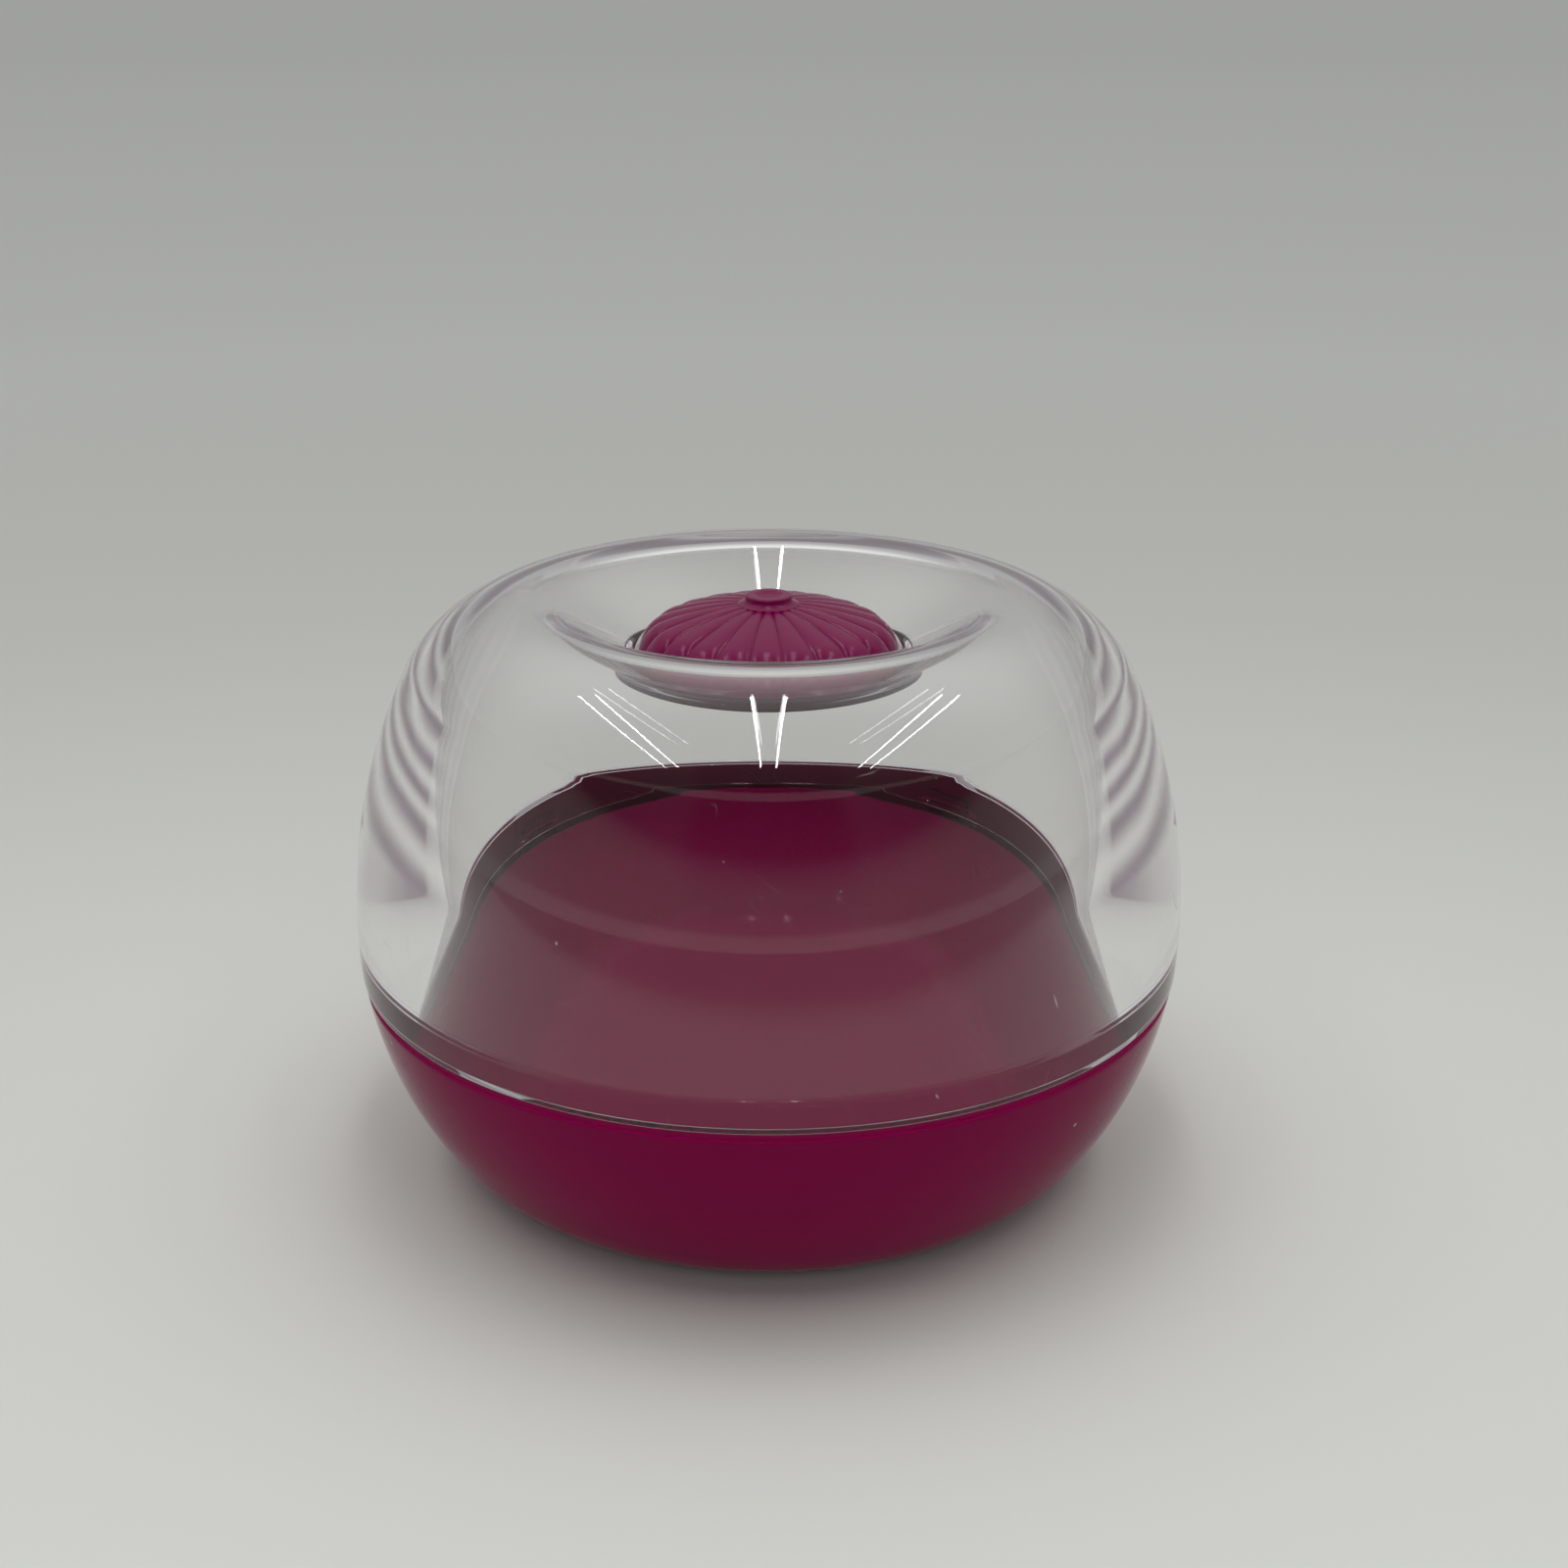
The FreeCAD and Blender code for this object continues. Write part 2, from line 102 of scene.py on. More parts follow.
POST_WALL = 2.2
STUD_RADIUS = 1.8
STUD_GAP = 0.05
NUB_FOOT_RADIUS = 4.3
NUB_RADIUS = 3.3
NUB_HEIGHT = 1.3
NUB_FLARE = 0.6
NUB_EDGE = 0.35
NUB_WAIST = 0.3
DIMPLE_RADIUS = 2.1
DIMPLE_DEPTH = 0.55

# Fineness of the meshes
COLUMNS = FLUTE_COUNT * 16
STUD_COLUMNS = 96
ARC_STEP = math.radians(2.5)
ARC_CHORD = 0.9
EDGE_STEPS = 4
EDGE_REACH = 0.45
SHARP_ANGLE = math.radians(40.0)
AXIS_RADIUS = 1e-6


# Half sections: points are (radius, height, edge rounding, swell share)
def point(radius, height, rounding=0.0, swell=0.0):
    return (radius, height, rounding, swell)


def arc(centre, radius, start, finish):
    """Points along an arc between two angles, both ends included."""
    steps = max(2, int(math.ceil(abs(finish - start) / min(ARC_STEP, ARC_CHORD / radius))))
    angles = [start + (finish - start) * step / steps for step in range(steps + 1)]
    return [point(centre[0] + radius * math.cos(a), centre[1] + radius * math.sin(a)) for a in angles]


def angle_from(centre, radius, height):
    return math.atan2(height - centre[1], radius - centre[0])


def round_edges(section, closed):
    """Replace each point that has a rounding by a small curve between its two sides."""
    rounded = []
    for index, (radius, height, rounding, swell) in enumerate(section):
        ends = not closed and index in (0, len(section) - 1)
        if rounding == 0.0 or ends:
            rounded.append((radius, height, swell))
            continue
        corner = Vector((radius, height))
        before = Vector(section[index - 1][:2])
        after = Vector(section[(index + 1) % len(section)][:2])
        first = corner + (before - corner).normalized() * min(rounding, (before - corner).length * EDGE_REACH)
        last = corner + (after - corner).normalized() * min(rounding, (after - corner).length * EDGE_REACH)
        for step in range(EDGE_STEPS + 1):
            share = step / EDGE_STEPS
            spot = first * (1 - share) ** 2 + corner * 2 * share * (1 - share) + last * share ** 2
            rounded.append((spot.x, spot.y, swell))
    return rounded


def lug_window(angle, half_width, radius):
    """One across each lug, zero between them, with a short slope at the sides."""
    pitch = 2 * math.pi / LUG_COUNT
    turn = (angle - LUG_ANGLE + pitch / 2) % pitch - pitch / 2
    return min(1.0, max(0.0, (half_width - abs(turn) * radius) / LUG_SIDE_SLOPE + 0.5))


def column_angles(columns):
    return [2 * math.pi * column / columns for column in range(columns)]


def add_ring(shape, angles, spots):
    """Ring of corners, with one (radius, height) spot for each angle."""
    return [shape.verts.new((radius * math.cos(angle) * MM, radius * math.sin(angle) * MM, height * MM))
            for angle, (radius, height) in zip(angles, spots)]


def turn_section(name, section, closed, swell=None, columns=COLUMNS):
    """Mesh turned about Z; swell(angle, share) moves a point out along its radius."""
    outline = round_edges(section, closed)
    angles = column_angles(columns)
    shape = bmesh.new()
    rings = []
    for radius, height, share in outline:
        if radius < AXIS_RADIUS:
            rings.append([shape.verts.new((0.0, 0.0, height * MM))])
        elif swell and share:
            places = [(radius + swell(angle, share), height) for angle in angles]
            rings.append(add_ring(shape, angles, places))
        else:
            rings.append(add_ring(shape, angles, [(radius, height)] * columns))
    pairs = list(zip(rings, rings[1:]))
    if closed:
        pairs.append((rings[-1], rings[0]))
    for low, high in pairs:
        join_rings(shape, low, high, columns)
    return finish_mesh(name, shape)


def join_rings(shape, low, high, columns):
    for column in range(columns):
        after = (column + 1) % columns
        if len(low) == 1 and len(high) == 1:
            return
        if len(low) == 1:
            shape.faces.new((low[0], high[column], high[after]))
        elif len(high) == 1:
            shape.faces.new((low[column], low[after], high[0]))
        else:
            shape.faces.new((low[column], low[after], high[after], high[column]))


def finish_mesh(name, shape):
    """Turn a bmesh into a smooth-shaded object with its faces outwards."""
    bmesh.ops.recalc_face_normals(shape, faces=shape.faces)
    mesh = bpy.data.meshes.new(name)
    shape.to_mesh(mesh)
    shape.free()
    mesh.polygons.foreach_set("use_smooth", [True] * len(mesh.polygons))
    mesh.set_sharp_from_angle(angle=SHARP_ANGLE)
    piece = bpy.data.objects.new(name, mesh)
    bpy.context.scene.collection.objects.link(piece)
    return piece


# Places worked out from the sizes
shoulder_z = OVERALL_HEIGHT - SHOULDER_RADIUS
dome_side = (BELLY_RADIUS - DOME_SIDE_RADIUS, BELLY_HEIGHT)
crest_radius = dome_side[0] + math.sqrt(
    (DOME_SIDE_RADIUS - SHOULDER_RADIUS) ** 2 - (shoulder_z - BELLY_HEIGHT) ** 2)
shoulder = (crest_radius, shoulder_z)
roll = (crest_radius, OVERALL_HEIGHT - ROLL_RADIUS)
base_side = (BELLY_RADIUS - BASE_SIDE_RADIUS, BELLY_HEIGHT)
base_join_radius = base_side[0] + math.sqrt(BASE_SIDE_RADIUS ** 2 - (BELLY_HEIGHT - JOIN_HEIGHT) ** 2)
rebate_radius = base_join_radius - RIM_WALL
spigot_radius = rebate_radius - SPIGOT_GAP
spigot_foot_z = JOIN_HEIGHT - SPIGOT_DEPTH
core_shoulder = (crest_radius, OVERALL_HEIGHT - DOME_WALL - CORE_SHOULDER_RADIUS)
core_side_z = BELLY_HEIGHT + CORE_LIFT
core_side = (crest_radius - math.sqrt(
    (CORE_SIDE_RADIUS - CORE_SHOULDER_RADIUS) ** 2 - (core_shoulder[1] - core_side_z) ** 2), core_side_z)
mouth_radius = core_side[0] + CORE_SIDE_RADIUS
rebate_z = spigot_foot_z - SPIGOT_GAP
lug_z = spigot_foot_z + LUG_RISE
notch_z = lug_z - SPIGOT_GAP
foot_radius = base_side[0] + math.sqrt(
    (BASE_SIDE_RADIUS - HEEL_RADIUS) ** 2 - (BELLY_HEIGHT - HEEL_RADIUS) ** 2)
heel = (foot_radius, HEEL_RADIUS)
bore_radius = CAP_RADIUS + CAP_GAP
neck_radius = bore_radius + NECK_WALL
inner_roll_radius = ROLL_RADIUS - DOME_WALL
under_top = (roll[0] - inner_roll_radius * math.sin(FUNNEL_SLOPE),
             roll[1] + inner_roll_radius * math.cos(FUNNEL_SLOPE))
neck_foot_z = under_top[1] - (under_top[0] - neck_radius) * math.tan(FUNNEL_SLOPE) - NECK_DROP
seat_z = neck_foot_z + LEDGE_THICKNESS
cap_foot_z = seat_z + SEAL_THICKNESS
cap_corner = (CAP_RADIUS - CAP_CORNER_RADIUS, cap_foot_z + SKIRT_HEIGHT)
cap_arc_rise = math.sqrt((CAP_TOP_RADIUS - CAP_CORNER_RADIUS) ** 2 - cap_corner[0] ** 2)
cap_centre = (0.0, cap_corner[1] - cap_arc_rise)
cap_top_z = cap_centre[1] + math.sqrt(CAP_TOP_RADIUS ** 2 - NUB_FOOT_RADIUS ** 2)
hollow_radius = CAP_RADIUS - CAP_WALL
hollow_top_radius = CAP_TOP_RADIUS - CAP_WALL
plug_radius = hollow_radius - PLUG_GAP
stud_hole_radius = STUD_RADIUS + STUD_GAP
plug_floor_z = neck_foot_z + PLUG_FLOOR


def slope_round(radius, across, top):
    """Centre of a rounding between the dish's slope and an upright wall."""
    along = top[1] - (top[0] - across - radius) * math.tan(FUNNEL_SLOPE)
    return (across + radius, along - radius / math.cos(FUNNEL_SLOPE))


def make_clear_dome():
    upright = math.pi / 2
    tilted = upright + FUNNEL_SLOPE
    funnel_top = (roll[0] - ROLL_RADIUS * math.sin(FUNNEL_SLOPE),
                  roll[1] + ROLL_RADIUS * math.cos(FUNNEL_SLOPE))
    lip = slope_round(LIP_RADIUS, bore_radius, funnel_top)
    web = slope_round(WEB_RADIUS, neck_radius, under_top)
    foot_radius_outside = dome_side[0] + math.sqrt(DOME_SIDE_RADIUS ** 2 - (BELLY_HEIGHT - JOIN_HEIGHT) ** 2)
    foot_turn = angle_from(dome_side, foot_radius_outside, JOIN_HEIGHT)
    shoulder_turn = angle_from(dome_side, *shoulder)
    core_turn = angle_from(core_side, *core_shoulder)

    section = [point(spigot_radius, JOIN_HEIGHT, 0.3), point(foot_radius_outside, JOIN_HEIGHT, 0.35)]
    section += arc(dome_side, DOME_SIDE_RADIUS, foot_turn, shoulder_turn)[1:]
    section += arc(shoulder, SHOULDER_RADIUS, shoulder_turn, upright)[1:]
    section += arc(roll, ROLL_RADIUS, upright, tilted)[1:]
    section += arc(lip, LIP_RADIUS, tilted, math.pi)
    section += [
        point(bore_radius, seat_z, 0.25),
        point(plug_radius + CAP_GAP, seat_z, 0.25),
        point(plug_radius + CAP_GAP, neck_foot_z, 0.3),
        point(neck_radius, neck_foot_z, 0.6),
    ]
    section += arc(web, WEB_RADIUS, math.pi, tilted)
    section += arc(roll, inner_roll_radius, tilted, upright)
    section += arc(core_shoulder, CORE_SHOULDER_RADIUS, upright, core_turn)[1:]
    section += arc(core_side, CORE_SIDE_RADIUS, core_turn, 0.0)[1:]
    section += [
        point(mouth_radius, spigot_foot_z, 0.6),
        point(spigot_radius, spigot_foot_z, 0.5),
        point(spigot_radius, lug_z - LUG_EDGE),
        point(spigot_radius, lug_z, 0.15, 1.0),
        point(spigot_radius, lug_z + LUG_HEIGHT, 0.15, 1.0),
        point(spigot_radius, lug_z + LUG_HEIGHT + LUG_EDGE),
    ]

    def lugs(angle, share):
        return LUG_REACH * share * lug_window(angle, LUG_WIDTH / 2, spigot_radius)

    return turn_section("clear_dome_turned", section, True, lugs)


def make_base_bowl():
    heel_turn = angle_from(base_side, *heel)
    step_z = JOIN_HEIGHT - STEP_HEIGHT
    step_outer = base_side[0] + math.sqrt(BASE_SIDE_RADIUS ** 2 - (BELLY_HEIGHT - step_z) ** 2)
    step_radius = base_join_radius - STEP_DEPTH
    inner_side_radius = BASE_SIDE_RADIUS - BASE_WALL
    inner_top = base_side[0] + math.sqrt(inner_side_radius ** 2 - (BELLY_HEIGHT - rebate_z) ** 2)
    down = -math.pi / 2

    section = [
        point(0.0, FOOT_RECESS),
        point(foot_radius - FOOT_RING, FOOT_RECESS, 0.5),
        point(foot_radius - FOOT_RING + FOOT_RECESS, 0.0, 0.5),
    ]
    section += arc(heel, HEEL_RADIUS, down, heel_turn)
    section += arc(base_side, BASE_SIDE_RADIUS, heel_turn, angle_from(base_side, step_outer, step_z))[1:-1]
    section += [
        point(step_outer, step_z, 0.4),
        point(step_radius, step_z, 0.2),
        point(step_radius, JOIN_HEIGHT, 0.25),
        point(rebate_radius, JOIN_HEIGHT, 0.3, 1.0),
        point(rebate_radius, notch_z + LUG_EDGE, 0.0, 1.0),
        point(rebate_radius, notch_z),
        point(rebate_radius, rebate_z, 0.2),
        point(inner_top, rebate_z, 0.3),
    ]
    floor_z = FOOT_RECESS + BASE_WALL
    floor_corner = (base_side[0] + math.sqrt((inner_side_radius - FLOOR_CORNER) ** 2 - (
        BELLY_HEIGHT - floor_z - FLOOR_CORNER) ** 2), floor_z + FLOOR_CORNER)
    corner_turn = angle_from(base_side, *floor_corner)
    section += arc(base_side, inner_side_radius, angle_from(base_side, inner_top, rebate_z), corner_turn)[1:]
    section += arc(floor_corner, FLOOR_CORNER, corner_turn, down)[1:]
    section += [point(0.0, floor_z)]

    def notches(angle, share):
        reach = LUG_REACH + 2 * SPIGOT_GAP
        return reach * share * lug_window(angle, LUG_WIDTH / 2 + NOTCH_SIDE_GAP, rebate_radius)

    return turn_section("base_bowl_turned", section, False, notches)


def flute_share(angle):
    """Zero on the crown of a lobe and one in the valley, along a round lobe."""
    pitch = 2 * math.pi / FLUTE_COUNT
    across = abs((angle + pitch / 2) % pitch - pitch / 2) / (pitch / 2)
    return 1.0 - math.sqrt(max(0.0, 1.0 - FLUTE_ROUNDNESS * across ** 2))


def make_fluted_cap():
    """Shell whose outside has lobes pressed in along its normal between the skirt and the nub."""
    corner_turn = math.atan2(cap_arc_rise, cap_corner[0])
    nub_turn = angle_from(cap_centre, NUB_FOOT_RADIUS, cap_top_z)
    outside = [(CAP_RADIUS, cap_foot_z, 0.0, 0.0), (CAP_RADIUS, cap_corner[1], 0.0, 0.0)]
    for step in range(1, FLUTE_STEPS + 1):
        turn = corner_turn * step / FLUTE_STEPS
        depth = FLUTE_DEPTH * min(1.0, FLUTE_RISE * step / FLUTE_STEPS)
        outside.append((cap_corner[0] + CAP_CORNER_RADIUS * math.cos(turn),
                        cap_corner[1] + CAP_CORNER_RADIUS * math.sin(turn), turn, depth))
    for step in range(1, FLUTE_STEPS + 1):
        turn = corner_turn + (nub_turn - corner_turn) * step / FLUTE_STEPS
        radius = CAP_TOP_RADIUS * math.cos(turn)
        depth = FLUTE_DEPTH * (FLUTE_INNER_SHARE + (1.0 - FLUTE_INNER_SHARE) * radius / CAP_RADIUS)
        outside.append((radius, cap_centre[1] + CAP_TOP_RADIUS * math.sin(turn), turn, depth))

    inside = arc(cap_centre, hollow_top_radius,
                 math.acos(stud_hole_radius / hollow_top_radius), corner_turn)
    inside += arc(cap_corner, CAP_CORNER_RADIUS - CAP_WALL, corner_turn, 0.0)[1:]
    inside += [point(hollow_radius, cap_foot_z)]

    angles = column_angles(COLUMNS)
    shape = bmesh.new()
    rings = []
    for radius, height, turn, depth in outside:
        inward = [depth * flute_share(angle) for angle in angles]
        rings.append(add_ring(shape, angles, [
            (radius - press * math.cos(turn), height - press * math.sin(turn)) for press in inward]))
    for spot in [(stud_hole_radius, cap_top_z - HOLE_EDGE_DROP)] + [spot[:2] for spot in inside]:
        rings.append(add_ring(shape, angles, [spot] * COLUMNS))
    for low, high in zip(rings, rings[1:] + rings[:1]):
        join_rings(shape, low, high, COLUMNS)
    return finish_mesh("fluted_cap_shell", shape)


def make_cap_plug():
    post_radius = stud_hole_radius + POST_WALL
    post_top_z = cap_centre[1] + math.sqrt(hollow_top_radius ** 2 - post_radius ** 2) - STUD_GAP
    section = [
        point(0.0, neck_foot_z),
        point(plug_radius, neck_foot_z, 0.8),
        point(plug_radius, cap_corner[1], 0.3),
        point(plug_radius - PLUG_WALL, cap_corner[1], 0.3),
        point(plug_radius - PLUG_WALL, plug_floor_z, 0.3),
        point(post_radius, plug_floor_z, 0.3),
        point(post_radius, post_top_z, 0.3),
        point(stud_hole_radius, post_top_z, 0.1),
        point(stud_hole_radius, plug_floor_z),
        point(0.0, plug_floor_z),
    ]
    return turn_section("cap_plug_turned", section, False)


def make_cap_seal():
    section = [
        point(plug_radius + CAP_GAP, seat_z, 0.15),
        point(bore_radius - CAP_GAP, seat_z, 0.15),
        point(bore_radius - CAP_GAP, cap_foot_z, 0.15),
        point(plug_radius + CAP_GAP, cap_foot_z, 0.15),
    ]
    return turn_section("cap_seal_turned", section, True)


def make_centre_stud():
    top_z = cap_top_z + NUB_HEIGHT
    dish_radius = (DIMPLE_RADIUS ** 2 + DIMPLE_DEPTH ** 2) / (2 * DIMPLE_DEPTH)
    dish = (0.0, top_z - DIMPLE_DEPTH + dish_radius)
    section = [
        point(0.0, plug_floor_z + STUD_GAP),
        point(STUD_RADIUS, plug_floor_z + STUD_GAP, 0.3),
        point(STUD_RADIUS, cap_top_z),
        point(NUB_FOOT_RADIUS, cap_top_z),
        point(NUB_RADIUS + NUB_WAIST, cap_top_z + NUB_FLARE / 2, 0.2),
        point(NUB_RADIUS, cap_top_z + NUB_FLARE, 0.2),
        point(NUB_RADIUS, top_z, NUB_EDGE),
        point(DIMPLE_RADIUS, top_z, 0.3),
    ]
    section += arc(dish, dish_radius, angle_from(dish, DIMPLE_RADIUS, top_z), -math.pi / 2)[1:]
    return turn_section("centre_stud_turned", section, False, columns=STUD_COLUMNS)


# Shader node groups shared by the finishes
def math_node(tree, operation, *values):
    """Math node whose inputs are sockets or plain numbers."""
    node = tree.nodes.new("ShaderNodeMath")
    node.operation = operation
    for socket, value in zip(node.inputs, values):
        if isinstance(value, float):
            socket.default_value = value
        else:
            tree.links.new(value, socket)
    return node.outputs[0]


def smooth_step(tree, value, low, high, at_low, at_high):
    """Smooth change from one level to another between two values."""
    node = tree.nodes.new("ShaderNodeMapRange")
    node.interpolation_type = "SMOOTHSTEP"
    node.inputs["From Min"].default_value = low
    node.inputs["From Max"].default_value = high
    node.inputs["To Min"].default_value = at_low
    node.inputs["To Max"].default_value = at_high
    tree.links.new(value, node.inputs["Value"])
    return node.outputs["Result"]


def new_group(name, inputs, outputs):
    group = bpy.data.node_groups.new(name, "ShaderNodeTree")
    for label, kind, default in inputs:
        socket = group.interface.new_socket(label, in_out="INPUT", socket_type=kind)
        socket.default_value = default
    for label, kind in outputs:
        group.interface.new_socket(label, in_out="OUTPUT", socket_type=kind)
    return group, group.nodes.new("NodeGroupInput"), group.nodes.new("NodeGroupOutput")


def scratch_group():
    """Hairline scratches: thin level lines of a stretched noise, broken up by a second noise."""
    group, given, result = new_group(
        "hairline_scratches",
        [("Scale", "NodeSocketFloat", 60.0), ("Width", "NodeSocketFloat", 0.01)],
        [("Mask", "NodeSocketFloat")])
    nodes, links = group.nodes, group.links
    place = nodes.new("ShaderNodeTexCoord")
    stretch = nodes.new("ShaderNodeMapping")
    stretch.inputs["Scale"].default_value = (1.0, 0.45, 0.7)
    lines = nodes.new("ShaderNodeTexNoise")
    lines.inputs["Detail"].default_value = 1.0
    lines.inputs["Distortion"].default_value = 0.6
    patches = nodes.new("ShaderNodeTexNoise")
    patches.inputs["Scale"].default_value = 90.0
    worn = nodes.new("ShaderNodeMapRange")
    worn.inputs["From Min"].default_value = 0.56
    worn.inputs["From Max"].default_value = 0.68
    links.new(place.outputs["Object"], stretch.inputs["Vector"])
    links.new(stretch.outputs["Vector"], lines.inputs["Vector"])
    links.new(given.outputs["Scale"], lines.inputs["Scale"])
    links.new(place.outputs["Object"], patches.inputs["Vector"])
    links.new(patches.outputs["Fac"], worn.inputs["Value"])
    off_line = math_node(group, "ABSOLUTE", math_node(group, "SUBTRACT", lines.outputs["Fac"], 0.5))
    thin = math_node(group, "LESS_THAN", off_line, given.outputs["Width"])
    links.new(math_node(group, "MULTIPLY", thin, worn.outputs["Result"]), result.inputs["Mask"])
    return group


def moulding_group():
    """Slow waves and fine grain of a moulded surface, as one height."""
    group, given, result = new_group(
        "moulded_surface",
        [("Wave Scale", "NodeSocketFloat", 40.0), ("Grain Scale", "NodeSocketFloat", 2500.0),
         ("Grain Share", "NodeSocketFloat", 0.1)],
        [("Height", "NodeSocketFloat"), ("Cloud", "NodeSocketFloat")])
    nodes, links = group.nodes, group.links
    place = nodes.new("ShaderNodeTexCoord")
    wave = nodes.new("ShaderNodeTexNoise")
    wave.inputs["Detail"].default_value = 1.0
    grain = nodes.new("ShaderNodeTexNoise")
    grain.inputs["Detail"].default_value = 2.0
    links.new(place.outputs["Object"], wave.inputs["Vector"])
    links.new(place.outputs["Object"], grain.inputs["Vector"])
    links.new(given.outputs["Wave Scale"], wave.inputs["Scale"])
    links.new(given.outputs["Grain Scale"], grain.inputs["Scale"])
    height = math_node(
        group, "MULTIPLY_ADD", grain.outputs["Fac"], given.outputs["Grain Share"], wave.outputs["Fac"])
    links.new(height, result.inputs["Height"])
    links.new(wave.outputs["Fac"], result.inputs["Cloud"])
    return group


def dust_group():
    """Sparse fine specks of dust: the middles of a few cells picked by their colour."""
    group, given, result = new_group(
        "settled_dust",
        [("Scale", "NodeSocketFloat", 700.0), ("Amount", "NodeSocketFloat", 0.1)],
        [("Mask", "NodeSocketFloat")])
    nodes, links = group.nodes, group.links
    place = nodes.new("ShaderNodeTexCoord")
    specks = nodes.new("ShaderNodeTexVoronoi")
    near = nodes.new("ShaderNodeMapRange")
    near.inputs["From Min"].default_value = 0.16
    near.inputs["From Max"].default_value = 0.06
    pick = nodes.new("ShaderNodeSeparateColor")
    links.new(place.outputs["Object"], specks.inputs["Vector"])
    links.new(given.outputs["Scale"], specks.inputs["Scale"])
    links.new(specks.outputs["Distance"], near.inputs["Value"])
    links.new(specks.outputs["Color"], pick.inputs["Color"])
    chosen = math_node(group, "LESS_THAN", pick.outputs["Red"], given.outputs["Amount"])
    links.new(math_node(group, "MULTIPLY", near.outputs["Result"], chosen), result.inputs["Mask"])
    return group


SCRATCHES = scratch_group()
MOULDING = moulding_group()
DUST = dust_group()


# Finishes
BOWL_MAGENTA = ((0.208, 0.001, 0.052, 1.0), (0.222, 0.0015, 0.06, 1.0))
CAP_MAGENTA = ((0.17, 0.0012, 0.056, 1.0), (0.185, 0.0015, 0.064, 1.0))
DUST_COLOUR = (0.5, 0.42, 0.44, 1.0)
SCRATCH_ROUGHNESS = 0.2
PLASTIC_IOR = 1.5
SILICONE_IOR = 1.41
PLASTIC_CLEAR = (0.985, 0.985, 0.99, 1.0)
PLASTIC_SHADOW = (0.78, 0.78, 0.78, 1.0)
SILICONE_CLEAR = (0.93, 0.93, 0.94, 1.0)
SILICONE_SHADOW = (0.8, 0.8, 0.8, 1.0)
MOST_BOUNCES = 3.5
# Painted reflection and painted shade: dark and pale lilac-grey streaks, in rings round the axis, on rays let
# out of the clear walls
PAINTED_REFLECTION_DARK = (0.44, 0.37, 0.43, 1.0)
PAINTED_REFLECTION_PALE = (0.92, 0.9, 0.92, 1.0)
PAINTED_STREAK_RINGS = 46.0
PAINTED_STREAK_WANDER = 1.0


def add_group(tree, group, **values):
    node = tree.nodes.new("ShaderNodeGroup")
    node.node_tree = group
    for label, value in values.items():
        node.inputs[label.replace("_", " ")].default_value = value
    return node


def new_material(name):
    material = bpy.data.materials.new(name)
    material.use_nodes = True
    tree = material.node_tree
    return material, tree, tree.nodes["Principled BSDF"]


def add_bump(tree, height, shader, strength, distance):
    bump = tree.nodes.new("ShaderNodeBump")
    bump.inputs["Strength"].default_value = strength
    bump.inputs["Distance"].default_value = distance
    tree.links.new(height, bump.inputs["Height"])
    tree.links.new(bump.outputs["Normal"], shader.inputs["Normal"])


def blend_value(tree, mask, low, high):
    node = tree.nodes.new("ShaderNodeMapRange")
    node.inputs["To Min"].default_value = low
    node.inputs["To Max"].default_value = high
    tree.links.new(mask, node.inputs["Value"])
    return node.outputs["Result"]


def blend_colour(tree, mask, low, high):
    node = tree.nodes.new("ShaderNodeMix")
    node.data_type = "RGBA"
    node.inputs["A"].default_value = low
    node.inputs["B"].default_value = high
    tree.links.new(mask, node.inputs["Factor"])
    return node


def magenta_plastic(name, colours, gloss, shine, grain_share):
    """Moulded magenta plastic: gloss, faint waves, hairline scratches and a little dust."""
    material, tree, shader = new_material(name)
    mould = add_group(tree, MOULDING, Wave_Scale=35.0, Grain_Scale=2600.0, Grain_Share=grain_share)
    scratches = add_group(tree, SCRATCHES, Scale=70.0, Width=0.004)
    dust = add_group(tree, DUST, Scale=420.0, Amount=0.02)
    cloud = blend_colour(tree, mould.outputs["Cloud"], *colours)
    dusty = blend_colour(tree, dust.outputs["Mask"], colours[0], DUST_COLOUR)
    tree.links.new(cloud.outputs["Result"], dusty.inputs["A"])
    tree.links.new(dusty.outputs["Result"], shader.inputs["Base Color"])
    roughness = blend_value(tree, scratches.outputs["Mask"], gloss, gloss + SCRATCH_ROUGHNESS)
    tree.links.new(roughness, shader.inputs["Roughness"])
    add_bump(tree, mould.outputs["Height"], shader, strength=0.25, distance=0.0002)
    shader.inputs["IOR"].default_value = PLASTIC_IOR
    shader.inputs["Specular IOR Level"].default_value = shine
    return material


def clear_plastic():
    """Thick clear plastic with slow waves and hairline scratches."""
    material, tree, shader = new_material("clear_plastic")
    mould = add_group(tree, MOULDING, Wave_Scale=30.0, Grain_Scale=3000.0, Grain_Share=0.0)
    scratches = add_group(tree, SCRATCHES, Scale=80.0, Width=0.0035)
    shader.inputs["Base Color"].default_value = PLASTIC_CLEAR
    shader.inputs["Transmission Weight"].default_value = 1.0
    shader.inputs["IOR"].default_value = PLASTIC_IOR
    tree.links.new(blend_value(tree, scratches.outputs["Mask"], 0.0, 0.25), shader.inputs["Roughness"])
    add_bump(tree, mould.outputs["Height"], shader, strength=0.06, distance=0.0001)
    # painted reflection streaks and painted shade on rays caught in the wall, and tinted shadow rays
    let_light_through(tree, shader, PLASTIC_SHADOW)
    return material


